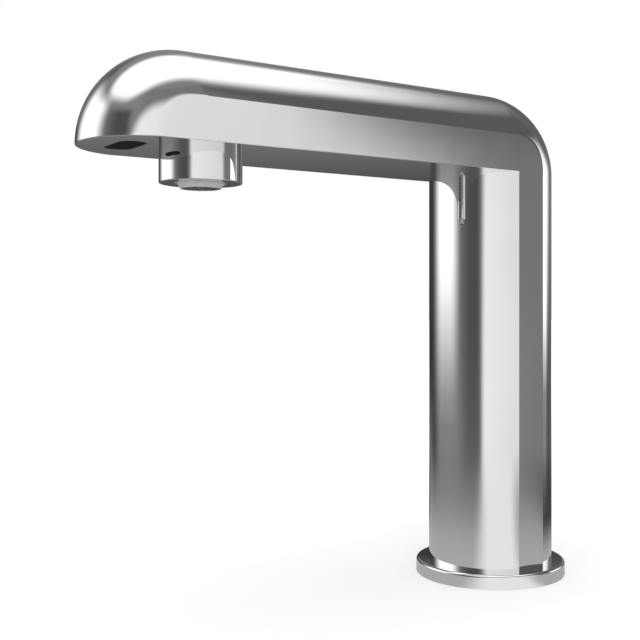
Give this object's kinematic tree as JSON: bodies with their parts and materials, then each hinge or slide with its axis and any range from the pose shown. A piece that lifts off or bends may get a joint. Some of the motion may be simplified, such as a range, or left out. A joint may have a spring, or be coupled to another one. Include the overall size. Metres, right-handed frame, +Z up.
{
  "type": "sensor tap",
  "caption": "Deck-mounted infrared sensor tap: round column with flat sides, level spout with rounded nose, outlet collar, aerator and sensor window below.",
  "frame": {"origin": "centre of the base on the deck, midway between the two fixing stud holes", "axes": "+Z up along the column, the spout points to -Y, +X and -X are across the flat sides"},
  "size_m": [0.0544, 0.1835, 0.175],
  "materials": {
    "chrome": "mirror-polished chrome plate",
    "window": "dark infrared-clear plastic, polished",
    "aerator_steel": "satin stainless steel",
    "aerator_plastic": "dark moulded plastic",
    "white_plastic": "natural acetal",
    "brass": "turned brass",
    "copper": "drawn copper tube",
    "winding": "enamelled copper wire",
    "rubber": "black rubber",
    "steel": "stainless steel",
    "valve_plastic": "glass-filled plastic",
    "board": "circuit board",
    "emitter": "clear blue-grey lens",
    "receiver": "smoked lens"
  },
  "bodies": {
    "tap": {"tap_body": "chrome", "base_ring": "chrome", "outlet_collar": "chrome", "base_gasket": "rubber", "base_hub": "brass", "hub_seal": "rubber", "lead_grommet": "rubber", "inlet_strainer": "steel", "valve_body": "valve_plastic", "inlet_seal": "rubber", "valve_diaphragm": "rubber", "valve_bonnet": "valve_plastic", "valve_screws": "steel", "armature_tube": "steel", "fixed_core": "steel", "plunger_spring": "steel", "coil_bobbin": "white_plastic", "coil_winding": "winding", "coil_yoke": "steel", "coil_nut": "steel", "water_tube": "copper", "tube_seals": "rubber", "outlet_elbow": "brass", "collar_seal": "rubber", "aerator_housing": "aerator_steel", "aerator_grid": "aerator_plastic", "aerator_core": "white_plastic", "aerator_screens": "steel", "aerator_washer": "rubber", "sensor_window": "window", "sensor_gasket": "rubber", "sensor_housing": "valve_plastic", "sensor_board": "board", "ir_emitter": "emitter", "ir_receiver": "receiver", "sensor_clip": "steel"},
    "plunger": {"plunger": "steel", "plunger_seal": "rubber"},
    "diaphragm_plate": {"diaphragm_plate": "white_plastic"}
  },
  "joints": [
    {"name": "plunger_lift", "type": "slide", "parent": "tap", "child": "plunger", "axis": [0, 0, 1], "range_m": [0, 0.002], "stiffness_N_per_m": 150, "springref_m": -0.002, "deforming": ["plunger_spring"]},
    {"name": "plate_lift", "type": "slide", "parent": "tap", "child": "diaphragm_plate", "axis": [0, 0, 1], "range_m": [0, 0.0012], "deforming": ["valve_diaphragm"]}
  ],
  "couplings": [
    {"joint": "plate_lift", "follows": "plunger_lift", "ratio": 0.6}
  ]
}
